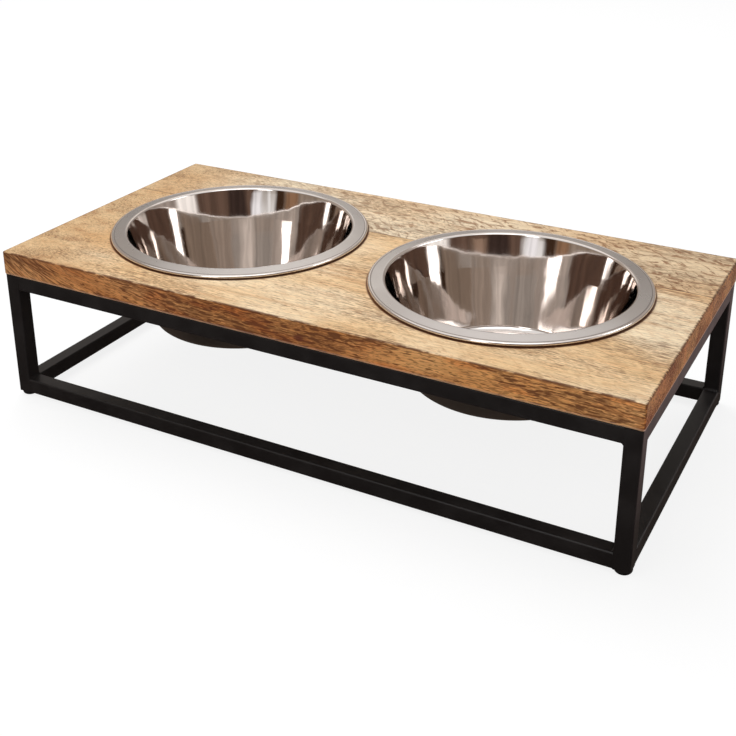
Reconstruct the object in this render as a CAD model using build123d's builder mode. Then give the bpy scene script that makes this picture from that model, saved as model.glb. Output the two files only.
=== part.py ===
from build123d import *
from math import cos, radians, sin, tan
import os

# A raised pet bowl stand. A board glued up from two wood staves lies on a welded
# frame of square steel tube, held by screws from below. Two steel bowls hang in
# round holes in the board by their rolled rims and lift straight out. Each leg
# stands on a plastic glide that is pushed into its open end.
#
# Millimetres. +X runs along the board to the right, +Y to the back and +Z up.
# The origin is on the floor, under the middle of the board.

# Board
board_length = 508.0
board_width = 254.0
board_thickness = 19.0
back_stave_width = 82.0
board_corner_radius = 1.5
board_edge_radius = 1.0
cutout_chamfer = 0.8

# Frame
stand_height = 125.0
tube_size = 12.0
tube_wall = 1.0
tube_corner_radius = 1.2
tube_bore_corner_radius = 0.25
frame_inset = 0.5

# Foot glides
foot_height = 3.5
foot_tip_diameter = 7.0
foot_stem_diameter = 7.6
foot_stem_length = 9.0
foot_fin_count = 3
foot_fin_thickness = 1.0

# Bowls
bowl_spacing = 234.0
rim_diameter = 207.0
rim_slope = 7.5
rim_curl_diameter = 3.0
rim_curl_angle = 250.0
mouth_diameter = 181.8
mouth_bend_radius = 2.2
waist_diameter = 168.6
waist_depth = 26.5
waist_bend_radius = 60.0
base_diameter = 146.0
base_bend_radius = 6.0
bowl_height = 77.6
bowl_sheet = 0.7
bowl_seat_gap = 0.2
bowl_hole_clearance = 2.5

# Board screws
screw_diameter = 4.0
screw_reach = 12.0
screw_point_length = 3.0
screw_head_diameter = 7.4
screw_head_height = 2.6
screw_recess_width = 0.9
screw_recess_span = 4.2
screw_recess_depth = 1.4
screw_end_distance = 64.0
screws_per_rail = 3
screw_hole_clearance = 0.25
screw_access_clearance = 0.6
pilot_clearance = 0.05

# Heights that the pieces share
board_top = stand_height
board_underside = board_top - board_thickness
leg_length = board_underside - foot_height
upper_rail_height = board_underside - tube_size / 2
lower_rail_height = foot_height + tube_size / 2
rail_heights = {"upper": upper_rail_height, "lower": lower_rail_height}
curl_radius = rim_curl_diameter / 2
curl_middle = board_top + bowl_seat_gap + curl_radius
rim_edge_height = curl_middle + curl_radius * cos(radians(rim_slope))

# Plan positions that the pieces share
frame_length = board_length - 2 * frame_inset
frame_width = board_width - 2 * frame_inset
leg_x = (frame_length - tube_size) / 2
leg_y = (frame_width - tube_size) / 2
bowl_x = {"left": -bowl_spacing / 2, "right": bowl_spacing / 2}
rim_edge_radius = rim_diameter / 2 - curl_radius * (1 - sin(radians(rim_slope)))
rim_rise = (rim_edge_radius - mouth_diameter / 2) * tan(radians(rim_slope))
rim_top = rim_edge_height + rim_rise
cutout_radius = mouth_diameter / 2 + bowl_sheet + bowl_hole_clearance
seam_y = board_width / 2 - back_stave_width
screw_spacing = (board_length - 2 * screw_end_distance) / (screws_per_rail - 1)
tube_bore = tube_size - 2 * tube_wall

os.makedirs("parts", exist_ok=True)
pieces = []


def keep(part, name):
    """Labels a finished piece and remembers it for the export at the end."""
    part.label = name
    pieces.append(part)


def tube_section():
    """Draws the square tube's wall in the sketch that is open."""
    RectangleRounded(tube_size, tube_size, tube_corner_radius)
    RectangleRounded(tube_bore, tube_bore, tube_bore_corner_radius, mode=Mode.SUBTRACT)


def screw_places(y, z):
    """Gives the screws' axes in the rail that runs along X at this y."""
    row = GridLocations(screw_spacing, 0, screws_per_rail, 1)
    return [Location((0, y, z)) * place for place in row]


# The board, before it is divided at its glue line
with BuildPart() as board:
    with BuildSketch(Plane.XY.offset(board_underside)):
        RectangleRounded(board_length, board_width, board_corner_radius)
    extrude(amount=board_thickness)
    outer_edges = board.faces().filter_by(Axis.Z).edges()
    fillet(outer_edges, board_edge_radius)
    with BuildSketch(Plane.XY.offset(board_underside)):
        with Locations(*[(x, 0) for x in bowl_x.values()]):
            Circle(cutout_radius)
    extrude(amount=board_thickness, mode=Mode.SUBTRACT)
    cutout_edges = board.edges().filter_by(GeomType.CIRCLE).group_by(SortBy.RADIUS)[-1]
    chamfer(cutout_edges, cutout_chamfer)
    for rail_y in (-leg_y, leg_y):
        with Locations(*screw_places(rail_y, board_underside)):
            Cylinder(
                screw_diameter / 2 + pilot_clearance,
                2 * screw_reach,
                mode=Mode.SUBTRACT,
            )

# The two staves meet along the glue line
seam = Plane.XZ.offset(-seam_y)
with BuildPart() as back_stave:
    add(board.part)
    split(bisect_by=seam, keep=Keep.BOTTOM)
keep(back_stave.part, "back_stave")

with BuildPart() as front_stave:
    add(board.part)
    split(bisect_by=seam, keep=Keep.TOP)
keep(front_stave.part, "front_stave")

# Four legs of square tube, open at the foot
for depth_name, y in (("front", -leg_y), ("back", leg_y)):
    for side_name, x in (("left", -leg_x), ("right", leg_x)):
        with BuildPart() as leg:
            with BuildSketch(Plane.XY.offset(foot_height)):
                with Locations((x, y)):
                    tube_section()
            extrude(amount=leg_length)
        keep(leg.part, f"{depth_name}_{side_name}_leg")

# Rails that run along X between the legs, drilled where they carry the board
long_rail_length = frame_length - 2 * tube_size
for level, z in rail_heights.items():
    for depth_name, y in (("front", -leg_y), ("back", leg_y)):
        with BuildPart() as long_rail:
            with BuildSketch(Plane.YZ.offset(-long_rail_length / 2)):
                with Locations((y, z)):
                    tube_section()
            extrude(amount=long_rail_length)
            if level == "upper":
                with Locations(*screw_places(y, board_underside)):
                    Cylinder(
                        screw_diameter / 2 + screw_hole_clearance,
                        tube_size,
                        mode=Mode.SUBTRACT,
                    )
                with Locations(*screw_places(y, board_underside - tube_size)):
                    Cylinder(
                        screw_head_diameter / 2 + screw_access_clearance,
                        tube_size,
                        mode=Mode.SUBTRACT,
                    )
        keep(long_rail.part, f"{depth_name}_{level}_rail")

# Rails that run along Y between the legs
short_rail_length = frame_width - 2 * tube_size
for level, z in rail_heights.items():
    for side_name, x in (("left", -leg_x), ("right", leg_x)):
        with BuildPart() as short_rail:
            with BuildSketch(Plane.XZ.offset(-short_rail_length / 2)):
                with Locations((x, z)):
                    tube_section()
            extrude(amount=short_rail_length)
        keep(short_rail.part, f"{side_name}_{level}_rail")

# Foot glides: a domed foot, and a finned stem that grips the bore of the leg
fin_pitch = foot_stem_length / foot_fin_count
for depth_name, y in (("front", -leg_y), ("back", leg_y)):
    for side_name, x in (("left", -leg_x), ("right", leg_x)):
        with BuildPart() as foot:
            with BuildSketch(Plane.XZ.offset(-y)):
                with BuildLine():
                    tip = Line((x, 0), (x + foot_tip_diameter / 2, 0))
                    dome = TangentArc(
                        tip @ 1,
                        (x + tube_size / 2, foot_height),
                        tangent=tip % 1,
                    )
                    Line(dome @ 1, (x, foot_height))
                    Line((x, foot_height), tip @ 0)
                make_face()
            revolve(axis=Axis((x, y, 0), (0, 0, 1)))
            with Locations((x, y, foot_height)):
                Cylinder(
                    foot_stem_diameter / 2,
                    foot_stem_length,
                    align=(Align.CENTER, Align.CENTER, Align.MIN),
                )
            for fin in range(foot_fin_count):
                with Locations((x, y, foot_height + (fin + 0.5) * fin_pitch)):
                    Cylinder(tube_bore / 2, foot_fin_thickness)
        keep(foot.part, f"{depth_name}_{side_name}_foot")

# Bowls: one spun sheet with a flat base, a wall that opens wider above its waist,
# a rim that falls a little outwards and a rolled edge. The line is the sheet's inner
# and upper side.
inner_floor = rim_top - bowl_height + bowl_sheet
for side_name, x in bowl_x.items():
    with BuildPart() as bowl:
        with BuildSketch(Plane.XZ):
            with BuildLine():
                wall = FilletPolyline(
                    (x, inner_floor),
                    (x + base_diameter / 2, inner_floor),
                    (x + waist_diameter / 2, rim_top - waist_depth),
                    (x + mouth_diameter / 2, rim_top),
                    (x + rim_edge_radius, rim_edge_height),
                    radius=[
                        base_bend_radius - bowl_sheet,
                        waist_bend_radius,
                        mouth_bend_radius,
                    ],
                )
                CenterArc(
                    (x + rim_diameter / 2 - curl_radius, curl_middle),
                    curl_radius,
                    90 - rim_slope,
                    -rim_curl_angle,
                )
                offset(amount=bowl_sheet, side=Side.RIGHT)
            make_face()
        revolve(axis=Axis((x, 0, 0), (0, 0, 1)))
    keep(bowl.part, f"{side_name}_bowl")

# Pan-head screws: each head sits inside its rail, and its thread is in the board
head_seat = board_underside - tube_wall
for depth_name, y in (("front", -leg_y), ("back", leg_y)):
    with BuildPart() as screws:
        for place in screw_places(y, head_seat):
            with BuildSketch(Plane(place.position, x_dir=(1, 0, 0), z_dir=(0, -1, 0))):
                with BuildLine():
                    Polyline(
                        (0, -screw_head_height),
                        (screw_head_diameter / 2, -screw_head_height),
                        (screw_head_diameter / 2, 0),
                        (screw_diameter / 2, 0),
                        (screw_diameter / 2, screw_reach - screw_point_length),
                        (0, screw_reach),
                        close=True,
                    )
                make_face()
            revolve(axis=Axis(place.position, (0, 0, 1)))
        with Locations(*screw_places(y, head_seat - screw_head_height)):
            for turn in (0, 90):
                Box(
                    screw_recess_span,
                    screw_recess_width,
                    2 * screw_recess_depth,
                    rotation=(0, 0, turn),
                    mode=Mode.SUBTRACT,
                )
    keep(screws.part, f"{depth_name}_rail_screws")

for piece in pieces:
    export_step(piece, f"parts/{piece.label}.step")
print(len(pieces), "pieces written")
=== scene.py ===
# %% [markdown]
# A raised pet bowl stand, dressed for its picture. The real one is an oiled wood board on a
# black welded frame of square tube, with two steel bowls that hang in it by their rims. The
# pieces that keep the shape they were made with, such as tubes and staves, come in as they
# are and only get a finish. The bowls are spun again here, because polished steel shows every
# flat facet of a coarse mesh. Lengths are in metres, +X runs along the board to the right,
# +Y to the back and +Z up, and the origin is on the floor under the middle of the board.

# %% Load the frame that everything is built around
import math

import bmesh
import bpy
from mathutils import Matrix, Vector


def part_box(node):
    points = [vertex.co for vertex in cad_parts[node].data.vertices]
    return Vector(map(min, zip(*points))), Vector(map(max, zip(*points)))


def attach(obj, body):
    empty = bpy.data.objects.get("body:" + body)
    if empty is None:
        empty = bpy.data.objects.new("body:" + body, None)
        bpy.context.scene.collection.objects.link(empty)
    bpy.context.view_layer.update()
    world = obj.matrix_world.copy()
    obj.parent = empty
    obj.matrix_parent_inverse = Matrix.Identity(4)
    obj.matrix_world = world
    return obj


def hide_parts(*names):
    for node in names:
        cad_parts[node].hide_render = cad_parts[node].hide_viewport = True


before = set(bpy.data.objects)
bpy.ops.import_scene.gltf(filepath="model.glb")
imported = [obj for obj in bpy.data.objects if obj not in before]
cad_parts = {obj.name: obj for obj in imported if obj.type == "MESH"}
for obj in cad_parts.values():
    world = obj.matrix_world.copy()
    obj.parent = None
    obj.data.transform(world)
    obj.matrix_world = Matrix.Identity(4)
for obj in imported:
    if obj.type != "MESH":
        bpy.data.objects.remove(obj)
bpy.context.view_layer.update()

MM = 0.001

# %% [markdown]
# The camera comes first, because every finish is judged through it. The picture was taken
# from the front right, a little above the board, and cropped low. A camera that is aimed
# lower and then shifted gives that crop. The angles are turned into a direction, and the
# camera looks along it.

# %% Put things in the scene
def put(name, data):
    """Puts a mesh, a lamp or a camera in the scene under its name."""
    made = bpy.data.objects.new(name, data)
    bpy.context.scene.collection.objects.link(made)
    return made


# %% Stand the camera where the picture was taken
CAMERA_PLACE = Vector((0.3928, -0.7354, 0.4656))
CAMERA_TURN = math.radians(-28.085)
CAMERA_TILT = math.radians(21.629)
CAMERA_LENS = 57.18
CAMERA_SHIFT = -0.17

camera = put("camera", bpy.data.cameras.new("camera"))
bpy.context.scene.camera = camera
camera.data.lens = CAMERA_LENS
camera.data.shift_y = CAMERA_SHIFT
camera.data.clip_start = 0.05
camera.location = CAMERA_PLACE
sight = Vector((
    math.sin(CAMERA_TURN) * math.cos(CAMERA_TILT),
    math.cos(CAMERA_TURN) * math.cos(CAMERA_TILT),
    -math.sin(CAMERA_TILT),
))
camera.rotation_euler = sight.to_track_quat("-Z", "Y").to_euler()
print("camera", round(camera.location.length, 3), "m from the origin")

# %% [markdown]
# A finish is a small network of nodes. A few helpers keep such a network readable: one adds
# any node and fills its sockets, and the others make the sums, the blends, the ranges and the
# noise that turn up in every finish. Colours are written as they look on a screen, from 0 to
# 255, and are changed to the linear values that light is reckoned in.

# %% Helpers that build a finish
def colour(red, green, blue):
    """A screen colour as the linear colour that a shader expects."""
    channels = []
    for value in (red, green, blue):
        share = value / 255
        channels.append(share / 12.92 if share <= 0.04045 else ((share + 0.055) / 1.055) ** 2.4)
    return (*channels, 1.0)


def fill(tree, socket, value):
    """Links a socket to another one, or sets it to a plain value."""
    if isinstance(value, bpy.types.NodeSocket):
        tree.links.new(value, socket)
    else:
        socket.default_value = value


def add(tree, kind, inputs=None, **settings):
    """Adds a node, makes its settings and fills its inputs."""
    made = tree.nodes.new(kind)
    for name, value in settings.items():
        setattr(made, name, value)
    for name, value in (inputs or {}).items():
        fill(tree, made.inputs[name], value)
    return made


def sums(tree, operation, first, second=0.0):
    """One sum on one or two values."""
    return add(tree, "ShaderNodeMath", {0: first, 1: second}, operation=operation).outputs[0]


def times(tree, first, second):
    """One value times another."""
    return sums(tree, "MULTIPLY", first, second)


def vector_sums(tree, operation, first, second=(0.0, 0.0, 0.0)):
    """One sum on one or two vectors."""
    return add(tree, "ShaderNodeVectorMath", {0: first, 1: second}, operation=operation).outputs[0]


def reach(tree, across, upward):
    """The length of a line that goes so far across and so far up."""
    line = add(tree, "ShaderNodeCombineXYZ", {0: across, 1: upward}).outputs[0]
    return add(tree, "ShaderNodeVectorMath", {0: line}, operation="LENGTH").outputs["Value"]


def blend(tree, share, first, second, way="MIX"):
    """Blends two colours."""
    made = add(tree, "ShaderNodeMix", data_type="RGBA", blend_type=way)
    fill(tree, made.inputs[0], share)
    fill(tree, made.inputs[6], first)
    fill(tree, made.inputs[7], second)
    return made.outputs[2]


def dyed(tree, share, tone, dye):
    """A tone with so much of a dye in it, as one stain over another."""
    return blend(tree, share, tone, blend(tree, 1.0, tone, dye, "MULTIPLY"))


def spread(tree, value, low, high, to_low=0.0, to_high=1.0):
    """Turns the range of a value from low to high into another range, with soft ends."""
    made = add(tree, "ShaderNodeMapRange", {0: value, 1: low, 2: high, 3: to_low, 4: to_high},
               interpolation_type="SMOOTHSTEP")
    return made.outputs[0]


def noise(tree, vector, scale, detail=2.0, roughness=0.5):
    """Cloudy noise in place of a picture: a value around a half."""
    made = add(tree, "ShaderNodeTexNoise",
               {"Vector": vector, "Scale": scale, "Detail": detail, "Roughness": roughness})
    return made.outputs[0]


def stretched(tree, vector, marks, shift=(0.0, 0.0, 0.0)):
    """Coordinates drawn out along X, with so many marks a metre along and across the grain."""
    along, across = marks
    made = add(tree, "ShaderNodeMapping", {
        "Vector": vector, "Location": shift, "Scale": (along, across, across)})
    return made.outputs[0]


def pattern(tree, vector, marks, detail, roughness=0.5, shift=(0.0, 0.0, 0.0)):
    """Noise with so many marks a metre along and across the grain."""
    return noise(tree, stretched(tree, vector, marks, shift), 1.0, detail, roughness)


def new_finish(name):
    """An empty finish with its shader and its object coordinates."""
    material = bpy.data.materials.new(name)
    material.use_nodes = True
    tree = material.node_tree
    shader = tree.nodes["Principled BSDF"]
    place = add(tree, "ShaderNodeTexCoord").outputs["Object"]
    return material, tree, shader, place


# %% [markdown]
# The board is oiled mango wood. The grain runs along X through the whole plank, so the
# pattern is made in the solid: the top, the front edge and the end then agree with each
# other, as they do when a real plank is sawn. Broad bands come first, then fibre streaks,
# then the pores, which are short dark dashes because each is a cut through a thin tube. Near
# the left end the fibres dive under the surface, so the pattern is sheared there and the
# dashes slant.

# %% Read the board's edges from its pieces
front_low, front_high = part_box("front_stave")
_, back_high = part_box("back_stave")
BOARD_X = front_high.x
BOARD_Y = back_high.y
BOARD_TOP = front_high.z
BOARD_UNDER = front_low.z
SEAM_Y = front_high.y
print("board", round(2 * BOARD_X, 4), "by", round(2 * BOARD_Y, 4), "seam at", round(SEAM_Y, 4))

# %% How fine each mark of the wood is, along and across the grain, in marks a metre
CLOUDS = (7.0, 16.0)
BANDS = (8.0, 130.0)
FIBRES = (60.0, 620.0)
FLECKS = (75.0, 230.0)
LEANING_FLECKS = (90.0, 300.0)
CROWDS = (9.0, 36.0)
FINE_PORES = (190.0, 1300.0)
COARSE_PORES = (120.0, 860.0)
LONG_MARKS = (44.0, 760.0)
PATCHES = (17.0, 70.0)
ARRIS_BREAKS = (110.0, 400.0)
SWAYS = (5.0, 9.0)

# %% Where the noise of each mark starts to show, and where it shows in full
CLOUD_LEVELS = (0.35, 0.65)
BAND_LEVELS = (0.46, 0.74)
FLECK_LEVELS = (0.52, 0.66)
FIBRE_LEVELS = (0.3, 0.7)
CROWD_LEVELS = (0.34, 0.66)
FINE_PORE_LEVELS = (0.5, 0.62)
COARSE_PORE_LEVELS = (0.58, 0.68)
LONG_MARK_LEVELS = (0.53, 0.63)
PATCH_LEVELS = (0.5, 0.66)
ARRIS_LEVELS = (0.36, 0.52)

# %% Where the grain runs out of the face
GRAIN_SLANT = 0.75
SLANT_REACH = 55 * MM
SLANT_SHOWS = (-0.12, -0.2)
GRAIN_SWAY = 12 * MM


def grain_space(tree, place):
    """Object coordinates bent as the fibres bend: slanting at the left end, swaying elsewhere."""
    axes = add(tree, "ShaderNodeSeparateXYZ", {0: place}).outputs
    from_end = sums(tree, "ADD", axes[0], BOARD_X)
    fade = sums(tree, "EXPONENT", times(tree, from_end, -1 / SLANT_REACH))
    dive = times(tree, fade, -GRAIN_SLANT * SLANT_REACH)
    height = sums(tree, "ADD", axes[2], dive)
    dived = add(tree, "ShaderNodeCombineXYZ", {0: axes[0], 1: axes[1], 2: height})
    swaying = add(tree, "ShaderNodeTexNoise",
                  {"Vector": stretched(tree, place, SWAYS), "Scale": 1.0, "Detail": 1.0})
    sway = vector_sums(tree, "SUBTRACT", swaying.outputs[1], (0.5, 0.5, 0.5))
    sway = vector_sums(tree, "MULTIPLY", sway, (0.0, GRAIN_SWAY, GRAIN_SWAY))
    return vector_sums(tree, "ADD", dived.outputs[0], sway)


# %% Which face a point is on
def faces_of_board(tree):
    """One on the upright faces, and one on the two ends."""
    normal = add(tree, "ShaderNodeNewGeometry").outputs["Normal"]
    facing = add(tree, "ShaderNodeSeparateXYZ", {0: normal}).outputs
    upright = sums(tree, "SUBTRACT", 1.0, sums(tree, "ABSOLUTE", facing[2]))
    side = spread(tree, upright, 0.1, 0.9)
    end = spread(tree, sums(tree, "ABSOLUTE", facing[0]), 0.1, 0.9)
    return side, end


# %% How far a point is from the nearest arris
def arris_distance(tree, axes):
    """The distance to the nearest outer edge of the board, and the height over its middle."""
    from_end = sums(tree, "SUBTRACT", BOARD_X, sums(tree, "ABSOLUTE", axes[0]))
    from_side = sums(tree, "SUBTRACT", BOARD_Y, sums(tree, "ABSOLUTE", axes[1]))
    height = sums(tree, "SUBTRACT", axes[2], (BOARD_TOP + BOARD_UNDER) / 2)
    from_middle = sums(tree, "ABSOLUTE", height)
    from_face = sums(tree, "SUBTRACT", (BOARD_TOP - BOARD_UNDER) / 2, from_middle)
    nearer = sums(tree, "MINIMUM", from_end, from_side)
    farther = sums(tree, "MAXIMUM", from_end, from_side)
    return sums(tree, "MAXIMUM", nearer, sums(tree, "MINIMUM", farther, from_face)), height


# %% The pores
def dashes(tree, grain, marks, levels, crowd, shift):
    """Short dark dashes, thicker where the crowd value is high."""
    field = pattern(tree, grain, marks, 1.5, shift=shift)
    return spread(tree, sums(tree, "ADD", field, crowd), *levels)


# %% The curly figure
LEAN = 0.7


def mottle(tree, grain, shift):
    """The curly figure: short flecks along the grain, crossed by others that lean."""
    leaning = add(tree, "ShaderNodeMapping", {"Vector": grain, "Rotation": (0.0, 0.0, LEAN)})
    flecks = []
    for vector, marks in ((grain, FLECKS), (leaning.outputs[0], LEANING_FLECKS)):
        curl = add(tree, "ShaderNodeTexNoise",
                   {"Vector": stretched(tree, vector, marks, shift), "Scale": 1.0,
                    "Detail": 3.0, "Roughness": 0.6, "Distortion": 0.6})
        flecks.append(curl.outputs[0])
    return sums(tree, "MAXIMUM", *flecks)


# %% [markdown]
# A finish this rich is easier to follow in layers, as a painter would lay them. First comes the
# bare wood, from its clouds down to its fibres. Then the faces and the ends take their own tone,
# because sawn fibres drink more oil, and the upright faces also carry painted shade: darker in the
# middle of the front and lighter toward the right end. The pores are cut in next, and last come
# the marks of use and of making and the painted light: a dark broken upper arris, a painted
# highlight along the lower edge, the glue line and a ring of painted contact shadow on the wood
# round each rim. Each layer is one function, which takes the tone so far and gives back the next.

# %% The bare wood
CURL_GROWS = (-0.2, 0.1)


def bare_wood(tree, grain, fibres, along, slanted, tones, figure, curl, shift):
    """Clouds of two pale tones, darker bands, curly flecks and fibre streaks."""
    pale, warm, deep, _ = tones
    clouds = pattern(tree, grain, CLOUDS, 3.0, shift=shift)
    tone = blend(tree, spread(tree, clouds, *CLOUD_LEVELS), pale, warm)
    bands = pattern(tree, grain, BANDS, 4.0, 0.6, shift)
    starts, full = BAND_LEVELS
    starts = sums(tree, "SUBTRACT", starts, times(tree, slanted, 0.04))
    boldness = sums(tree, "ADD", figure, times(tree, slanted, 0.2))
    tone = blend(tree, times(tree, spread(tree, bands, starts, full), boldness), tone, deep)
    flecks = spread(tree, mottle(tree, grain, shift), *FLECK_LEVELS)
    curliness = spread(tree, along, *CURL_GROWS, curl * 0.4, curl)
    tone = blend(tree, times(tree, flecks, curliness), tone, deep)
    streak = spread(tree, fibres, *FIBRE_LEVELS, 0.8, 1.1)
    grey = add(tree, "ShaderNodeCombineColor", {0: streak, 1: streak, 2: streak}).outputs[0]
    return blend(tree, 1.0, tone, grey, "MULTIPLY")


# %% The tone of the faces and the ends, with painted shade and light on the upright faces
HONEY = colour(228, 211, 189)
# The upright faces get a browner tone that is also painted shade, a painted lighter tone toward
# the right end and a painted darker one in the middle of the front
SIDE_STAIN_AND_SHADE = colour(238, 193, 149)
RIGHT_SIDE_PAINTED_LIGHT = colour(250, 212, 168)
MIDDLE_SIDE_PAINTED_SHADE = colour(218, 166, 113)
END_STAIN = colour(232, 210, 165)
HONEY_AT_LEFT = (-0.13, -0.235)
HONEY_AT_RIGHT = (0.02, 0.19)
MIDDLE_STARTS = (-0.16, -0.05)
MIDDLE_ENDS = (0.02, 0.09)
RIGHT_STARTS = (0.03, 0.12)


def stained_and_shaded_wood(tree, tone, along, side, end, browner):
    """Honey toward the ends of the top, a browner tone on the sides and the end grain, and painted
    shade on the sides: darker in the middle, lighter toward the right.
    """
    honey = sums(tree, "MAXIMUM", spread(tree, along, *HONEY_AT_LEFT),
                 spread(tree, along, *HONEY_AT_RIGHT, 0.0, browner))
    on_top = sums(tree, "SUBTRACT", 1.0, times(tree, side, 0.7))
    tone = dyed(tree, times(tree, honey, on_top), tone, HONEY)
    # Painted light and shade on the upright faces: lighter toward the right end, darker in the
    # middle
    side_stain_and_shade = blend(tree, spread(tree, along, *RIGHT_STARTS), SIDE_STAIN_AND_SHADE, RIGHT_SIDE_PAINTED_LIGHT)
    middle_part = times(tree, spread(tree, along, *MIDDLE_STARTS),
                        spread(tree, along, *MIDDLE_ENDS, 1.0, 0.0))
    side_stain_and_shade = blend(tree, middle_part, side_stain_and_shade, MIDDLE_SIDE_PAINTED_SHADE)
    tone = dyed(tree, side, tone, side_stain_and_shade)
    return dyed(tree, end, tone, END_STAIN)


# %% The pores, the long marks and the darker patches
PATCH_DYE = colour(255, 216, 174)


def pored_wood(tree, tone, grain, side, slanted, pore, shift):
    """The wood with its pores cut in, and how deep the pores are at each point."""
    crowd = pattern(tree, grain, CROWDS, 2.0, shift=shift)
    crowd = spread(tree, crowd, *CROWD_LEVELS, -0.09, 0.07)
    crowd = sums(tree, "ADD", crowd, times(tree, side, 0.06))
    fine = dashes(tree, grain, FINE_PORES, FINE_PORE_LEVELS, crowd, shift)
    coarse = dashes(tree, grain, COARSE_PORES, COARSE_PORE_LEVELS, crowd, shift)
    pores = sums(tree, "MAXIMUM", times(tree, fine, 0.6), coarse)
    depth = sums(tree, "ADD", 0.62, times(tree, side, 0.23))
    tone = blend(tree, times(tree, pores, depth), tone, pore)
    long_marks = dashes(tree, grain, LONG_MARKS, LONG_MARK_LEVELS, crowd, shift)
    tone = blend(tree, times(tree, times(tree, long_marks, slanted), 0.6), tone, pore)
    patches = pattern(tree, grain, PATCHES, 2.0, shift=shift)
    patches = times(tree, times(tree, spread(tree, patches, *PATCH_LEVELS), side), 0.7)
    return dyed(tree, patches, tone, PATCH_DYE), pores


# %% The dark upper arris, the painted highlight on the lower edge, the glue line and the painted contact shadow round the rims
bowl_low, bowl_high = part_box("right_bowl")
BOWL_X = (bowl_low.x + bowl_high.x) / 2
RIM_RADIUS = (bowl_high.x - bowl_low.x) / 2
# The pale tone and the height of the painted highlight along the lower edge
LOWER_EDGE_HIGHLIGHT_TONE = colour(222, 184, 166)
DARK_ARRIS = (0.5 * MM, 1.9 * MM)
UPPER_HALF = (0.0, 6 * MM)
LOWER_EDGE_HIGHLIGHT_BAND = (-7.6 * MM, -8.4 * MM)
GLUE_LINE = (0.2 * MM, 1.1 * MM)
# Where the painted contact shadow lies on the wood round each rim
RIM_CONTACT_SHADOW = (RIM_RADIUS + 0.4 * MM, RIM_RADIUS + 1.7 * MM)


def used_wood(tree, tone, place, axes, side, end, pore):
    """The wood with a dark upper arris, a painted highlight on its lower edge, its glue line and a
    painted contact shadow round each rim.
    """
    distance, height = arris_distance(tree, axes)
    broken = pattern(tree, place, ARRIS_BREAKS, 2.0)
    dark_arris = times(tree, spread(tree, distance, *DARK_ARRIS, 1.0, 0.0),
                       spread(tree, height, *UPPER_HALF))
    dark_arris = times(tree, dark_arris, spread(tree, broken, *ARRIS_LEVELS))
    tone = blend(tree, times(tree, dark_arris, 0.85), tone, pore)
    # A painted highlight along the rounded lower edge of the sides and the ends
    lower_edge_highlight = sums(tree, "ADD", times(tree, side, 0.25), times(tree, end, 0.55))
    lower_edge_highlight = times(tree, spread(tree, height, *LOWER_EDGE_HIGHLIGHT_BAND), lower_edge_highlight)
    tone = blend(tree, lower_edge_highlight, tone, LOWER_EDGE_HIGHLIGHT_TONE)
    from_seam = sums(tree, "ABSOLUTE", sums(tree, "SUBTRACT", axes[1], SEAM_Y))
    tone = blend(tree, spread(tree, from_seam, *GLUE_LINE, 0.6, 0.0), tone, pore)
    # A painted contact shadow: a dark ring on the wood just outside each bowl's rolled rim
    from_axis = sums(tree, "SUBTRACT", sums(tree, "ABSOLUTE", axes[0]), BOWL_X)
    radius = reach(tree, from_axis, axes[1])
    return blend(tree, spread(tree, radius, *RIM_CONTACT_SHADOW, 0.95, 0.0), tone, pore)


# %% The wood finish
def wood_finish(name, tones, figure, curl, browner, shift):
    """Oiled wood. Tones run from pale to dark, and figure and curl are how strongly it is marked.

    Browner is how much the right end darkens.
    """
    material, tree, shader, place = new_finish(name)
    grain = grain_space(tree, place)
    axes = add(tree, "ShaderNodeSeparateXYZ", {0: place}).outputs
    along = axes[0]
    side, end = faces_of_board(tree)
    slanted = times(tree, side, spread(tree, along, *SLANT_SHOWS))
    fibres = pattern(tree, grain, FIBRES, 3.0, 0.7, shift)
    tone = bare_wood(tree, grain, fibres, along, slanted, tones, figure, curl, shift)
    tone = stained_and_shaded_wood(tree, tone, along, side, end, browner)
    tone, pores = pored_wood(tree, tone, grain, side, slanted, tones[3], shift)
    tone = used_wood(tree, tone, place, axes, side, end, tones[3])
    fill(tree, shader.inputs["Base Color"], tone)
    fill(tree, shader.inputs["Roughness"], spread(tree, pores, 0.0, 1.0, 0.44, 0.66))
    shader.inputs["Specular IOR Level"].default_value = 0.3
    relief = sums(tree, "SUBTRACT", times(tree, fibres, 0.35), pores)
    bump = add(tree, "ShaderNodeBump", {"Height": relief, "Strength": 0.5, "Distance": 0.2 * MM})
    fill(tree, shader.inputs["Normal"], bump.outputs[0])
    return material


# %% Two staves, two finishes
front_wood = wood_finish(
    "front_stave_wood",
    (colour(253, 230, 193), colour(241, 202, 150), colour(190, 130, 76), colour(92, 43, 8)),
    figure=0.5, curl=0.24, browner=0.0, shift=(3.1, 1.7, 0.4))
back_wood = wood_finish(
    "back_stave_wood",
    (colour(252, 232, 199), colour(242, 211, 170), colour(152, 106, 68), colour(88, 54, 30)),
    figure=0.4, curl=0.9, browner=0.6, shift=(7.7, 4.2, 2.9))
print("front wood has", len(front_wood.node_tree.nodes), "nodes")

# %% One small knot, low on the front face
KNOT_X = 14.5 * MM
KNOT_HEIGHT = 112.8 * MM
KNOT_SIZE = Vector((6.5, 3.4)) * MM
KNOT_TONE = colour(104, 46, 24)
FRONT_SKIN = (0.5 * MM - BOARD_Y, 3 * MM - BOARD_Y)


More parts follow.
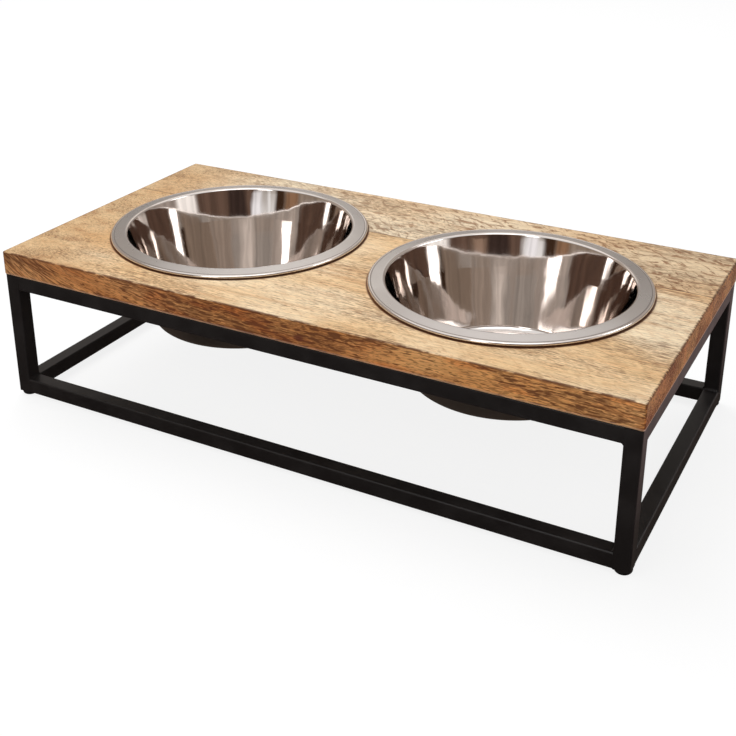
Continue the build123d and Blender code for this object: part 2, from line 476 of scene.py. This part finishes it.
def add_knot(material):
    """Darkens a small oval on the front face, over what the finish already paints there."""
    tree = material.node_tree
    painted = tree.nodes["Principled BSDF"].inputs["Base Color"]
    place = add(tree, "ShaderNodeTexCoord").outputs["Object"]
    axes = add(tree, "ShaderNodeSeparateXYZ", {0: place}).outputs
    across = sums(tree, "DIVIDE", sums(tree, "SUBTRACT", axes[0], KNOT_X), KNOT_SIZE.x)
    upward = sums(tree, "DIVIDE", sums(tree, "SUBTRACT", axes[2], KNOT_HEIGHT), KNOT_SIZE.y)
    oval = spread(tree, reach(tree, across, upward), 0.25, 1.0, 0.85, 0.0)
    on_front = spread(tree, axes[1], *FRONT_SKIN, 1.0, 0.0)
    wood_tone = painted.links[0].from_socket
    fill(tree, painted, blend(tree, times(tree, oval, on_front), wood_tone, KNOT_TONE))


add_knot(front_wood)
print("knot of", round(2000 * KNOT_SIZE.x, 1), "mm on", front_wood.name)

# %% Lay the finishes on the staves
for stave, wood in (("front_stave", front_wood), ("back_stave", back_wood)):
    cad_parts[stave].data.materials.clear()
    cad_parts[stave].data.materials.append(wood)
print("wood on the staves:", front_wood.name, back_wood.name)

# %% [markdown]
# The frame is powder coated. The powder melts into a skin that is nearly black, half
# glossy and slightly dimpled, like the peel of an orange, so the dimples are a bump and
# the gloss wavers a little with them.

# %% The powder coat and the plastic
def coat_finish(name, base, gloss, dimple, depth):
    """A dark skin with so many dimples a metre, so deep."""
    material, tree, shader, place = new_finish(name)
    dimples = noise(tree, place, dimple, 2.0)
    dust = noise(tree, place, 60.0, 3.0)
    dusty = blend(tree, 0.05, base, colour(96, 88, 84))
    tone = blend(tree, spread(tree, dust, 0.35, 0.75), base, dusty)
    fill(tree, shader.inputs["Base Color"], tone)
    wavering = spread(tree, dust, 0.3, 0.7, gloss - 0.05, gloss + 0.06)
    fill(tree, shader.inputs["Roughness"], wavering)
    shader.inputs["Specular IOR Level"].default_value = 0.36
    bump = add(tree, "ShaderNodeBump", {"Height": dimples, "Strength": 0.25, "Distance": depth})
    fill(tree, shader.inputs["Normal"], bump.outputs[0])
    return material


powder_coat = coat_finish(
    "black_powder_coat", colour(25, 21, 21), gloss=0.42, dimple=900.0, depth=0.05 * MM)
glide_plastic = coat_finish(
    "black_glide_plastic", colour(17, 16, 16), gloss=0.6, dimple=2200.0, depth=0.02 * MM)
print("dark finishes:", powder_coat.name, glide_plastic.name)

# %% The zinc of the screws
zinc, zinc_tree, zinc_shader, zinc_place = new_finish("zinc_plate")
zinc_cloud = noise(zinc_tree, zinc_place, 700.0, 2.0)
fill(zinc_tree, zinc_shader.inputs["Base Color"],
     blend(zinc_tree, zinc_cloud, colour(186, 186, 180), colour(206, 204, 190)))
zinc_shader.inputs["Metallic"].default_value = 1.0
fill(zinc_tree, zinc_shader.inputs["Roughness"],
     spread(zinc_tree, zinc_cloud, 0.3, 0.7, 0.28, 0.42))

# %% Paint the frame, the glides and the screws
for name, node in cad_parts.items():
    finish = None
    if name.endswith("_leg") or name.endswith("_rail"):
        finish = powder_coat
    elif name.endswith("_foot"):
        finish = glide_plastic
    elif name.endswith("_screws"):
        finish = zinc
    if finish:
        node.data.materials.clear()
        node.data.materials.append(finish)
print("coated:", powder_coat.users, "tubes,", glide_plastic.users, "glides")

# %% [markdown]
# The bowls are pressed from steel sheet and have three finishes. The inside is polished like
# a mirror, though the sheet still waves a little from the press, which is what bends the
# reflections. The flat rim and its rolled edge are brushed round and round, and such marks
# stretch a highlight across them, away from the bowl's axis. The outside is as the press
# left it, dull and grey, because nobody sees it in use.

# %% Sizes of a bowl
BOWL_UNDER = bowl_low.z
SHEET = 0.7 * MM
MOUTH_RADIUS = 90.9 * MM
MOUTH_HEIGHT = BOWL_UNDER + 77.6 * MM
MOUTH_BEND = 2.2 * MM
WAIST_RADIUS = 84.3 * MM
WAIST_DEPTH = 26.5 * MM
WAIST_BEND = 60 * MM
BASE_RADIUS = 73 * MM
BASE_BEND = 5.3 * MM
CURL_RADIUS = 1.5 * MM
GROOVE_RADIUS = 0.4 * MM
SEAT_GAP = 0.2 * MM
# Angles round the middle of the rolled edge, in degrees
SHOULDER = 120
ROLL_START = SHOULDER - 6
ROLL_END = -167.5
print("bowl axis at", round(BOWL_X, 4), "rim radius", round(RIM_RADIUS, 4))


# %% Directions round a bowl's own axis
def round_the_bowl(tree, place):
    """The distance from the nearer bowl's axis, and the direction away from that axis."""
    axes = add(tree, "ShaderNodeSeparateXYZ", {0: place}).outputs
    offset = sums(tree, "SUBTRACT", sums(tree, "ABSOLUTE", axes[0]), BOWL_X)
    offset = times(tree, offset, sums(tree, "SIGN", axes[0]))
    spoke = add(tree, "ShaderNodeCombineXYZ", {0: offset, 1: axes[1]}).outputs[0]
    return reach(tree, offset, axes[1]), vector_sums(tree, "NORMALIZE", spoke)


# %% Steel as the press and the brush leave it
PRESS_WAVES = (58.0, 58.0, 20.0)
TURNING_MARKS = 1800.0


def steel_finish(name, base, gloss, wave, ring):
    """Steel with press waves so high, and turning marks so deep."""
    material, tree, shader, place = new_finish(name)
    radius, spoke = round_the_bowl(tree, place)
    cloud = noise(tree, place, 40.0, 3.0)
    shader.inputs["Metallic"].default_value = 1.0
    fill(tree, shader.inputs["Base Color"], blend(tree, cloud, *base))
    fill(tree, shader.inputs["Roughness"], spread(tree, cloud, 0.3, 0.7, *gloss))
    crinkled = add(tree, "ShaderNodeMapping", {"Vector": place, "Scale": PRESS_WAVES})
    press = noise(tree, crinkled.outputs[0], 1.0, 1.5, 0.4)
    waves = add(tree, "ShaderNodeBump", {"Height": press, "Strength": 1.0, "Distance": wave})
    turned = add(tree, "ShaderNodeTexNoise",
                 {"W": times(tree, radius, TURNING_MARKS), "Scale": 1.0}, noise_dimensions="1D")
    rings = add(tree, "ShaderNodeBump", {
        "Height": turned.outputs[0], "Strength": 1.0, "Distance": ring,
        "Normal": waves.outputs[0]})
    fill(tree, shader.inputs["Normal"], rings.outputs[0])
    return material, radius, spoke


# %% The three finishes of the steel
bowl_mirror, _, _ = steel_finish(
    "bowl_mirror", (colour(222, 216, 212), colour(218, 210, 205)),
    gloss=(0.04, 0.07), wave=0.3 * MM, ring=0.0)
bowl_rim, rim_radius, rim_spoke = steel_finish(
    "bowl_brushed_rim", (colour(214, 211, 209), colour(206, 202, 200)),
    gloss=(0.26, 0.34), wave=0.05 * MM, ring=0.004 * MM)
bowl_outside, _, _ = steel_finish(
    "bowl_dull_outside", (colour(152, 147, 142), colour(136, 131, 126)),
    gloss=(0.3, 0.42), wave=0.1 * MM, ring=0.0)
print("steel finishes:", bowl_mirror.name, bowl_rim.name, bowl_outside.name)

# %% The rim's brushed highlight, and painted shade in the groove beside its roll
GROOVE_PLACE = RIM_RADIUS - 2.4 * MM
# The dark tone of the painted shade in the groove
GROOVE_SHADE_TONE = colour(84, 74, 70)

rim_tree = bowl_rim.node_tree
rim_steel = rim_tree.nodes["Principled BSDF"].inputs
rim_steel["Anisotropic"].default_value = 0.7
fill(rim_tree, rim_steel["Tangent"], rim_spoke)
from_groove = sums(rim_tree, "SUBTRACT", rim_radius, GROOVE_PLACE)
from_groove = sums(rim_tree, "ABSOLUTE", from_groove)
# Painted shade: the steel beside the roll is darkened where the groove lies
groove_shade = spread(rim_tree, from_groove, 0.2 * MM, 0.6 * MM, 0.55, 0.0)
steel_tone = rim_steel["Base Color"].links[0].from_socket
fill(rim_tree, rim_steel["Base Color"], blend(rim_tree, groove_shade, steel_tone, GROOVE_SHADE_TONE))
print("groove", round(2000 * GROOVE_PLACE, 1), "mm across")

# %% [markdown]
# A bowl is a shape with a rule: one section turned about an axis. The section is the line of
# the sheet, with round bends at the base and the mouth, a small groove and the rolled edge.
# Offset by the sheet's thickness it comes back underneath to the axis, so the turned shape is
# closed. The turning is done by geometry nodes: a circle carries the section round, the
# points that meet on the axis are merged, and the finish is set at the end.

# %% Draw the section of a bowl
def arc(centre, radius, start, end, steps):
    """Points along an arc, from one angle in degrees to another."""
    turn = [math.radians(start + (end - start) * step / steps) for step in range(steps + 1)]
    return [centre + radius * Vector((math.cos(angle), math.sin(angle))) for angle in turn]


def bend(before, corner, after, radius, steps):
    """Points of the arc that rounds a corner between two straight stretches."""
    back = (before - corner).normalized()
    ahead = (after - corner).normalized()
    half = back.angle(ahead) / 2
    centre = corner + (back + ahead).normalized() * (radius / math.sin(half))
    start = corner + back * (radius / math.tan(half)) - centre
    end = corner + ahead * (radius / math.tan(half)) - centre
    turn = -start.angle_signed(end) / steps
    return [centre + Matrix.Rotation(turn * step, 2) @ start for step in range(steps + 1)]


def straight(start, end, steps):
    """Points between two others, without the last."""
    return [start.lerp(end, step / steps) for step in range(steps)]


# %% The sheet's upper side, from the axis to the end of the roll
inner_floor = BOWL_UNDER + SHEET
axis_foot = Vector((0.0, inner_floor))
base_corner = Vector((BASE_RADIUS, inner_floor))
waist_corner = Vector((WAIST_RADIUS, MOUTH_HEIGHT - WAIST_DEPTH))
mouth_corner = Vector((MOUTH_RADIUS, MOUTH_HEIGHT))
curl_centre = Vector((RIM_RADIUS - CURL_RADIUS, BOARD_TOP + SEAT_GAP + CURL_RADIUS))
turn = math.radians(SHOULDER)
shoulder = curl_centre + CURL_RADIUS * Vector((math.cos(turn), math.sin(turn)))
over_shoulder = shoulder + CURL_RADIUS * Vector((math.sin(turn), -math.cos(turn)))

base_bend = bend(axis_foot, base_corner, waist_corner, BASE_BEND, 18)
waist_bend = bend(base_corner, waist_corner, mouth_corner, WAIST_BEND, 6)
mouth_bend = bend(waist_corner, mouth_corner, shoulder, MOUTH_BEND, 16)
groove = bend(mouth_corner, shoulder, over_shoulder, GROOVE_RADIUS, 5)
roll = arc(curl_centre, CURL_RADIUS, ROLL_START, ROLL_END, 36)
upper_side = (
    straight(axis_foot, base_bend[0], 12) + base_bend[:-1]
    + straight(base_bend[-1], waist_bend[0], 7) + waist_bend[:-1]
    + straight(waist_bend[-1], mouth_bend[0], 8) + mouth_bend[:-1]
    + straight(mouth_bend[-1], groove[0], 5) + groove[:-1] + roll
)

# %% Give the sheet its thickness
under_side = []
befores = [upper_side[0], *upper_side]
afters = [*upper_side[1:], upper_side[-1]]
for before, here, after in zip(befores, upper_side, afters):
    along = (after - before).normalized()
    under_side.append(here + SHEET * Vector((along.y, -along.x)))
under_side[0].x = 0.0
section = upper_side + under_side[::-1]
INSIDE, RIM, OUTSIDE = 0.0, 1.0, 2.0
rim_starts = mouth_bend[-5].x
zones = [RIM if point.x > rim_starts else INSIDE for point in upper_side[:-len(roll)]]
zones += [INSIDE] * len(roll)
zones += [RIM if point.x > rim_starts + SHEET else OUTSIDE for point in under_side[::-1]]
print("section of", len(section), "points,", zones.count(RIM), "of them on the rim")


# %% An empty tree for shapes
def new_tree(name, inputs, output):
    """A tree with these inputs, each with its kind, and with one shape as its output."""
    tree = bpy.data.node_groups.new(name, "GeometryNodeTree")
    for label, kind in inputs.items():
        tree.interface.new_socket(label, in_out="INPUT", socket_type=f"NodeSocket{kind}")
    tree.interface.new_socket(output, in_out="OUTPUT", socket_type="NodeSocketGeometry")
    return tree, add(tree, "NodeGroupInput").outputs


# %% A tree that turns a section about an axis
def lathe_tree():
    """Nodes that turn the host's section about an upright axis."""
    tree, given = new_tree("turned_on_an_axis", {
        "Section": "Geometry", "Segments": "Int", "Carrier Radius": "Float",
        "Axis Place": "Vector", "Inside Finish": "Material", "Rim Finish": "Material",
        "Outside Finish": "Material"}, "Turned")
    line = add(tree, "GeometryNodeMeshToCurve", {"Mesh": given["Section"]})
    carrier = add(tree, "GeometryNodeCurvePrimitiveCircle",
                  {"Resolution": given["Segments"], "Radius": given["Carrier Radius"]})
    turned = add(tree, "GeometryNodeCurveToMesh",
                 {"Curve": carrier.outputs["Curve"], "Profile Curve": line.outputs["Curve"]})
    merged = add(tree, "GeometryNodeMergeByDistance",
                 {"Geometry": turned.outputs["Mesh"], "Distance": 0.01 * MM})
    placed = add(tree, "GeometryNodeTransform",
                 {"Geometry": merged.outputs["Geometry"], "Translation": given["Axis Place"]})
    smooth = add(tree, "GeometryNodeSetShadeSmooth", {"Geometry": placed.outputs["Geometry"]})
    real = add(tree, "GeometryNodeRealizeInstances", {"Geometry": smooth.outputs["Geometry"]})
    zone = add(tree, "GeometryNodeInputNamedAttribute", {"Name": "zone"}, data_type="FLOAT")
    coated = real
    for finish, above in (("Inside Finish", -0.5), ("Rim Finish", 0.5), ("Outside Finish", 1.5)):
        there = add(tree, "FunctionNodeCompare", {"A": zone.outputs["Attribute"], "B": above},
                    data_type="FLOAT", operation="GREATER_THAN")
        coated = add(tree, "GeometryNodeSetMaterial", {
            "Geometry": coated.outputs["Geometry"], "Selection": there.outputs[0],
            "Material": given[finish]})
    add(tree, "NodeGroupOutput", {"Turned": coated.outputs["Geometry"]})
    return tree


# %% Run a tree and keep the plain mesh
def grown(host, tree, sizes):
    """Runs a tree on its host with these sizes, and leaves the host with a plain mesh."""
    modifier = host.modifiers.new("grown", "NODES")
    modifier.node_group = tree
    for item in tree.interface.items_tree:
        if item.in_out == "INPUT" and item.name in sizes:
            modifier[item.identifier] = sizes[item.name]
    evaluated = host.evaluated_get(bpy.context.evaluated_depsgraph_get())
    mesh = bpy.data.meshes.new_from_object(evaluated)
    host.modifiers.remove(modifier)
    host.data = mesh
    shell = bmesh.new()
    shell.from_mesh(mesh)
    bmesh.ops.recalc_face_normals(shell, faces=shell.faces)
    shell.to_mesh(mesh)
    shell.free()
    print(host.name, len(mesh.polygons), "faces")


# %% Spin the two bowls
CARRIER_RADIUS = 40 * MM
SEGMENTS = 224
lathe = lathe_tree()
for side, axis_x in (("left", -BOWL_X), ("right", BOWL_X)):
    line = bpy.data.meshes.new(f"{side}_bowl_section")
    points = [(point.x - CARRIER_RADIUS, -point.y, 0.0) for point in section]
    line.from_pydata(points, [(i, i + 1) for i in range(len(points) - 1)], [])
    line.attributes.new("zone", "FLOAT", "POINT").data.foreach_set("value", zones)
    bowl = put(f"{side}_spun_bowl", line)
    grown(bowl, lathe, {
        "Segments": SEGMENTS,
        "Carrier Radius": CARRIER_RADIUS,
        "Axis Place": (axis_x, 0.0, 0.0),
        "Inside Finish": bowl_mirror,
        "Rim Finish": bowl_rim,
        "Outside Finish": bowl_outside,
    })
    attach(bowl, f"{side}_bowl")
    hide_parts(f"{side}_bowl")

# %% [markdown]
# The tubes are welded where they meet. Inside each corner the weld is a small fillet with
# the ripples of the bead, and on the outer faces it is ground flush and only fills the
# groove that the tubes' round edges leave. Both are the same wedge, laid into a corner, so
# one wedge is modelled and a tree sets a copy on each mark, turned as the mark says.

# %% Read the tubes' places
leg_low, leg_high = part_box("front_right_leg")
TUBE = leg_high.x - leg_low.x
LEG_X = (leg_low.x + leg_high.x) / 2
LEG_Y = -(leg_low.y + leg_high.y) / 2
upper_low, upper_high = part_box("front_upper_rail")
lower_low, lower_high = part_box("front_lower_rail")
WELD_LEG = 1.6 * MM
GROUND_LEG = 1.25 * MM
BEAD_LENGTH = TUBE - 2 * MM
print("tube", round(TUBE, 4), "legs at", round(LEG_X, 4), round(LEG_Y, 4))

# %% Mark every weld: its place, the two ways that it opens, and its size
welds = []
for side_x in (-1, 1):
    for side_y in (-1, 1):
        inner_x = side_x * (LEG_X - TUBE / 2)
        inner_y = side_y * (LEG_Y - TUBE / 2)
        outer_x = side_x * (LEG_X + TUBE / 2)
        outer_y = side_y * (LEG_Y + TUBE / 2)
        to_middle_x = Vector((-side_x, 0, 0))
        to_middle_y = Vector((0, -side_y, 0))
        for rail_z, open_z, way in (
            ((upper_low.z + upper_high.z) / 2, upper_low.z, -1),
            ((lower_low.z + lower_high.z) / 2, lower_high.z, 1),
        ):
            up = Vector((0, 0, way))
            welds += [
                (Vector((inner_x, side_y * LEG_Y, open_z)), to_middle_x, up, WELD_LEG),
                (Vector((side_x * LEG_X, inner_y, open_z)), to_middle_y, up, WELD_LEG),
                (Vector((inner_x, inner_y, rail_z)), to_middle_x, to_middle_y, WELD_LEG),
                (Vector((inner_x, outer_y, rail_z)), -to_middle_x, to_middle_y, GROUND_LEG),
                (Vector((outer_x, inner_y, rail_z)), to_middle_x, -to_middle_y, GROUND_LEG),
            ]
print(len(welds), "welds")

# %% Put the marks on a mesh of bare points
marks = bpy.data.meshes.new("weld_marks")
marks.from_pydata([place for place, _, _, _ in welds], [], [])
marks.attributes.new("turn", "FLOAT_VECTOR", "POINT")
marks.attributes.new("leg_length", "FLOAT", "POINT")
for index, (_, first, second, leg) in enumerate(welds):
    axes = Matrix((first, second, first.cross(second))).transposed()
    marks.attributes["turn"].data[index].vector = axes.to_euler()
    marks.attributes["leg_length"].data[index].value = leg


# %% Model one wedge of weld, one unit long and one unit on its legs
HOLLOW_CENTRE = Vector((1.9, 1.9))
HOLLOW_RADIUS = 2.104
HOLLOW_STARTS, HOLLOW_ENDS = 244.6, 205.4
WEDGE_CORNER = Vector((-0.08, -0.08))
BEAD_RINGS = 13
RIPPLE_HEIGHT = 0.05
RIPPLE_PACE = 2.1


def weld_wedge():
    """A wedge along Z with its square corner on the axis and a slightly hollow face."""
    shape = bmesh.new()
    face = arc(HOLLOW_CENTRE, HOLLOW_RADIUS, HOLLOW_STARTS, HOLLOW_ENDS, 4)
    outline = [WEDGE_CORNER, *face]
    rows = []
    for ring in range(BEAD_RINGS):
        height = ring / (BEAD_RINGS - 1) - 0.5
        ripple = 1 + RIPPLE_HEIGHT * math.sin(ring * RIPPLE_PACE)
        rows.append([shape.verts.new((p.x * ripple, p.y * ripple, height)) for p in outline])
    for lower_row, upper_row in zip(rows, rows[1:]):
        for i in range(len(outline)):
            j = (i + 1) % len(outline)
            shape.faces.new((lower_row[i], lower_row[j], upper_row[j], upper_row[i]))
    shape.faces.new(rows[0][::-1])
    shape.faces.new(rows[-1])
    bmesh.ops.recalc_face_normals(shape, faces=shape.faces)
    mesh = bpy.data.meshes.new("weld_wedge")
    shape.to_mesh(mesh)
    shape.free()
    return bpy.data.objects.new("weld_wedge", mesh)


# %% A tree that lays a wedge at each mark
def weld_tree():
    """Nodes that copy a wedge to each mark, turned and sized as the mark says."""
    tree, given = new_tree("welds_at_marks", {
        "Marks": "Geometry", "Wedge": "Object", "Bead Length": "Float",
        "Finish": "Material"}, "Welds")
    wedge = add(tree, "GeometryNodeObjectInfo", {"Object": given["Wedge"]})
    turn = add(tree, "GeometryNodeInputNamedAttribute", {"Name": "turn"}, data_type="FLOAT_VECTOR")
    turn = add(tree, "FunctionNodeEulerToRotation", {0: turn.outputs["Attribute"]})
    leg = add(tree, "GeometryNodeInputNamedAttribute", {"Name": "leg_length"}, data_type="FLOAT")
    leg = leg.outputs["Attribute"]
    size = add(tree, "ShaderNodeCombineXYZ", {0: leg, 1: leg, 2: given["Bead Length"]})
    laid = add(tree, "GeometryNodeInstanceOnPoints", {
        "Points": given["Marks"], "Instance": wedge.outputs["Geometry"],
        "Rotation": turn.outputs[0], "Scale": size.outputs[0]})
    real = add(tree, "GeometryNodeRealizeInstances", {"Geometry": laid.outputs["Instances"]})
    coated = add(tree, "GeometryNodeSetMaterial",
                 {"Geometry": real.outputs["Geometry"], "Material": given["Finish"]})
    add(tree, "NodeGroupOutput", {"Welds": coated.outputs["Geometry"]})
    return tree


# %% Weld the frame
wedge = weld_wedge()
frame_welds = put("frame_welds", marks)
grown(frame_welds, weld_tree(), {
    "Wedge": wedge,
    "Bead Length": BEAD_LENGTH,
    "Finish": powder_coat,
})
bpy.data.objects.remove(wedge)
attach(frame_welds, "stand")

# %% [markdown]
# The floor is pale and the light is soft. What the camera and the steel see of the floor and
# the world is white, while the light that falls on the stand stays at a plain level, so the
# colours come out as they are written. The floor keeps its shadow, because its paleness is
# half lit surface and half a steady glow.

# %% The white surroundings
def seen_directly(tree):
    """One for rays that reach the lens straight, in a mirror or through glass."""
    path = add(tree, "ShaderNodeLightPath").outputs
    seen = sums(tree, "MAXIMUM", path["Is Camera Ray"], path["Is Glossy Ray"])
    return sums(tree, "MAXIMUM", seen, path["Is Transmission Ray"])


WORLD_LIGHT = 0.5
world = bpy.data.worlds.new("white_studio")
bpy.context.scene.world = world
world.use_nodes = True
sky = world.node_tree.nodes["Background"]
sky.inputs["Color"].default_value = (1, 1, 1, 1)
level = add(world.node_tree, "ShaderNodeMix",
            {0: seen_directly(world.node_tree), 2: WORLD_LIGHT, 3: 1.0}).outputs[0]
fill(world.node_tree, sky.inputs["Strength"], level)
print("world light", WORLD_LIGHT, "and white to look at")


# %% A level sheet
def level_sheet(name, low, high, height):
    """One flat face between two corners, at a height over the floor."""
    mesh = bpy.data.meshes.new(name)
    mesh.from_pydata([
        (low[0], low[1], height), (high[0], low[1], height),
        (high[0], high[1], height), (low[0], high[1], height)], [], [(0, 1, 2, 3)])
    return put(name, mesh)


# %% The floor
FLOOR_REACH = 8.0
FLOOR_LIT = (0.2, 0.2, 0.2, 1)
FLOOR_GLOW = 0.84
FLOOR_PLAIN = (0.6, 0.6, 0.6, 1)
floor = level_sheet("floor", (-FLOOR_REACH, -FLOOR_REACH), (FLOOR_REACH, FLOOR_REACH), 0)
pale = bpy.data.materials.new("pale_floor")
pale.use_nodes = True
floor_tree = pale.node_tree
floor_tree.nodes.remove(floor_tree.nodes["Principled BSDF"])
lit = add(floor_tree, "ShaderNodeBsdfDiffuse", {"Color": FLOOR_LIT})
glow = add(floor_tree, "ShaderNodeEmission", {"Color": (1, 1, 1, 1), "Strength": FLOOR_GLOW})
both = add(floor_tree, "ShaderNodeAddShader", {0: lit.outputs[0], 1: glow.outputs[0]})
plain = add(floor_tree, "ShaderNodeBsdfDiffuse", {"Color": FLOOR_PLAIN})
shown = add(floor_tree, "ShaderNodeMixShader",
            {0: seen_directly(floor_tree), 1: plain.outputs[0], 2: both.outputs[0]})
fill(floor_tree, floor_tree.nodes["Material Output"].inputs["Surface"], shown.outputs[0])
floor.data.materials.append(pale)
print("floor", 2 * FLOOR_REACH, "m wide")


# %% The lamps
LAMP_AIM = Vector((0, 0, 0.1))


def soft_lamp(name, place, size, power):
    """A square lamp that looks at the middle of the stand."""
    light = bpy.data.lights.new(name, "AREA")
    light.size = size
    light.energy = power
    lamp = put(name, light)
    lamp.location = place
    lamp.rotation_euler = (LAMP_AIM - lamp.location).to_track_quat("-Z", "Y").to_euler()
    lamp.visible_glossy = False
    print(name, "at", place, "with", power, "watts")


soft_lamp("key_lamp", (-0.9, 0.5, 2.0), size=1.4, power=26.0)
soft_lamp("fill_lamp", (-0.8, -1.9, 1.2), size=1.2, power=8.0)

# %% [markdown]
# Polished steel has no colour of its own: it shows the room. The cards here stand in rings
# round the stand and make up a room: pale walls, a brown cupboard to one side, dark things
# at the foot of the walls and bright windows. They are seen only by glossy rays, so they
# neither shade the stand nor enter the picture. A bearing of 0 is the back of the stand and
# 90 its right end. A card that lies over another one stands a little nearer. Its edges fade
# out, because a hard edge in a mirror looks cut with scissors: each corner of the mesh holds
# how solid the card is there, and the material mixes clear and glowing by that number.

# %% Paper that only a gloss can see
FOLD_PACE = 7.0
FOLD_DARKER, FOLD_LIGHTER = 0.8, 1.14


def glossy_paper(made, tone, power):
    """Gives a mesh a steady glow that fades by its corners' solid value, for the gloss alone."""
    paper = bpy.data.materials.new(made.name)
    paper.use_nodes = True
    tree = paper.node_tree
    tree.nodes.remove(tree.nodes["Principled BSDF"])
    here = add(tree, "ShaderNodeAttribute", attribute_name="solid").outputs["Fac"]
    place = add(tree, "ShaderNodeTexCoord").outputs["Object"]
    axes = add(tree, "ShaderNodeSeparateXYZ", {0: place}).outputs
    bearing = sums(tree, "ARCTAN2", axes[0], axes[1])
    fold = add(tree, "ShaderNodeTexNoise", {"W": bearing, "Scale": FOLD_PACE, "Detail": 2.0},
               noise_dimensions="1D").outputs[0]
    folds = spread(tree, fold, 0.3, 0.7, power * FOLD_DARKER, power * FOLD_LIGHTER)
    shine = add(tree, "ShaderNodeEmission", {"Color": tone, "Strength": folds})
    clear = add(tree, "ShaderNodeBsdfTransparent")
    faded = add(tree, "ShaderNodeMixShader", {0: here, 1: clear.outputs[0], 2: shine.outputs[0]})
    fill(tree, tree.nodes["Material Output"].inputs["Surface"], faded.outputs[0])
    made.data.materials.append(paper)
    made.visible_camera = False
    made.visible_diffuse = False
    made.visible_shadow = False
    made.visible_transmission = False


# %% One card
CARD_STEP = 6


def ring_card(name, start, end, low, high, tone, power, radius, fade):
    """A card bent round the stand, between two bearings and two elevations in degrees."""
    middle = end - start - fade
    steps = max(1, math.ceil(middle / CARD_STEP))
    inner = [start + fade / 2 + middle * step / steps for step in range(steps + 1)]
    bearings = [start - fade / 2, *inner, end + fade / 2]
    lifts = [low - fade / 2, low + fade / 2, high - fade / 2, high + fade / 2]
    corners, solid = [], []
    for column, bearing in enumerate(bearings):
        for row, lift in enumerate(lifts):
            turn, rise = math.radians(bearing), math.radians(lift)
            away, height = radius * math.cos(rise), radius * math.sin(rise)
            corners.append((away * math.sin(turn), away * math.cos(turn), height))
            solid.append(float(0 < column < len(bearings) - 1 and 0 < row < 3))
    faces = [(4 * c + r, 4 * c + r + 4, 4 * c + r + 5, 4 * c + r + 1)
             for c in range(len(bearings) - 1) for r in range(3)]
    mesh = bpy.data.meshes.new(name)
    mesh.from_pydata(corners, [], faces)
    mesh.attributes.new("solid", "FLOAT", "POINT").data.foreach_set("value", solid)
    glossy_paper(put(name, mesh), tone, power)


# %% The room that the steel shows
WHITE_PAPER = colour(255, 255, 255)
# Name, first and last bearing, lowest and highest elevation, tone, power, radius and fade
ROOM = (
    ("high_glow", -75, 20, 40, 78, colour(246, 240, 236), 1.3, 2.64, 12),
    ("ceiling_lamp", 112, 192, 50, 76, WHITE_PAPER, 3.0, 2.66, 10),
    ("upper_wall", -180, 180, 10, 44, colour(188, 182, 176), 1.0, 2.60, 3),
    ("front_left_wall", -166, -98, 2, 40, colour(158, 142, 128), 1.0, 2.55, 8),
    ("left_wall", -98, -56, 2, 40, colour(184, 170, 158), 1.0, 2.54, 8),
    ("left_curtain", -56, -14, 16, 38, colour(204, 194, 186), 1.0, 2.53, 14),
    ("back_wall", -14, 42, 16, 38, colour(190, 178, 168), 1.0, 2.52, 14),
    ("low_back_wall", -60, 44, 0, 22, colour(160, 153, 148), 1.0, 2.51, 12),
    ("side_wall", 38, 78, 0, 26, colour(170, 157, 149), 1.0, 2.50, 10),
    ("window_halo", 42, 92, 22, 38, colour(214, 204, 196), 1.0, 2.49, 8),
    ("low_pane", 74, 98, 3, 15, colour(250, 246, 242), 1.3, 2.47, 7),
    ("right_cupboard", 97, 168, 1, 33, colour(106, 84, 72), 1.0, 2.45, 6),
    ("cupboard_door", 120, 134, 3, 24, colour(156, 130, 112), 1.0, 2.42, 8),
    ("dark_corner", 136, 154, 1, 22, colour(64, 50, 45), 1.0, 2.40, 5),
    ("front_window", 170, 184, 18, 31, WHITE_PAPER, 5.0, 2.38, 3),
    ("dark_frame", 188, 199, 1, 28, colour(70, 50, 36), 1.0, 2.36, 4),
    ("front_chest", 199, 214, 1, 12, colour(148, 114, 88), 1.0, 2.34, 4),
    ("low_front_pane", 166, 179, 8, 19, colour(232, 232, 236), 1.3, 0.90, 5),
    ("bright_pane", 58, 83, 29, 41, WHITE_PAPER, 5.0, 0.80, 4),
    ("pale_screen", -46, -20, 26, 48, colour(240, 233, 226), 1.1, 0.62, 14),
)
for entry in ROOM:
    ring_card(*entry)
print("cards in the room:", len(ROOM))

# %% [markdown]
# Steel and a glossy coat also show what they stand on. In the picture the rails stay nearly black
# where they mirror the ground, and are a little lighter at the right end. So the gloss gets a dark
# sheet to see there, a painted reflection that stands in for the shade under the stand, and a pale
# one over it beside the right end, a painted reflection of the lit floor there. Plain sheets on
# the floor would do the same, but they would be in the picture as well.

# %% What lies on the floor, for the gloss alone
def floor_paper(name, low, high, height, tone):
    """A sheet that lies flat between two corners and has no faded edges."""
    made = level_sheet(name, low, high, height)
    made.data.attributes.new("solid", "FLOAT", "POINT").data.foreach_set("value", [1.0] * 4)
    glossy_paper(made, tone, 1.0)
    print(name, "lies", round(height / MM, 1), "mm over the floor")


SHADE_SHEET_REACH = 0.9
near_corner = (-SHADE_SHEET_REACH, -SHADE_SHEET_REACH)
far_corner = (SHADE_SHEET_REACH, SHADE_SHEET_REACH)
beside_board = (BOARD_X + 50 * MM, -0.15)
# A painted reflection: a dark glowing sheet that stands in for the shade under the stand
floor_paper("dark_table", near_corner, far_corner, 0.5 * MM, colour(84, 74, 68))
# A painted reflection of the lit floor beside the right end
floor_paper("pale_floor_at_the_right", beside_board, far_corner, 1.0 * MM, colour(226, 196, 192))

# %% [markdown]
# The picture is shown as it is reckoned, with no film look on it.

# %% Set the view and finish
bpy.context.scene.view_settings.view_transform = "Standard"
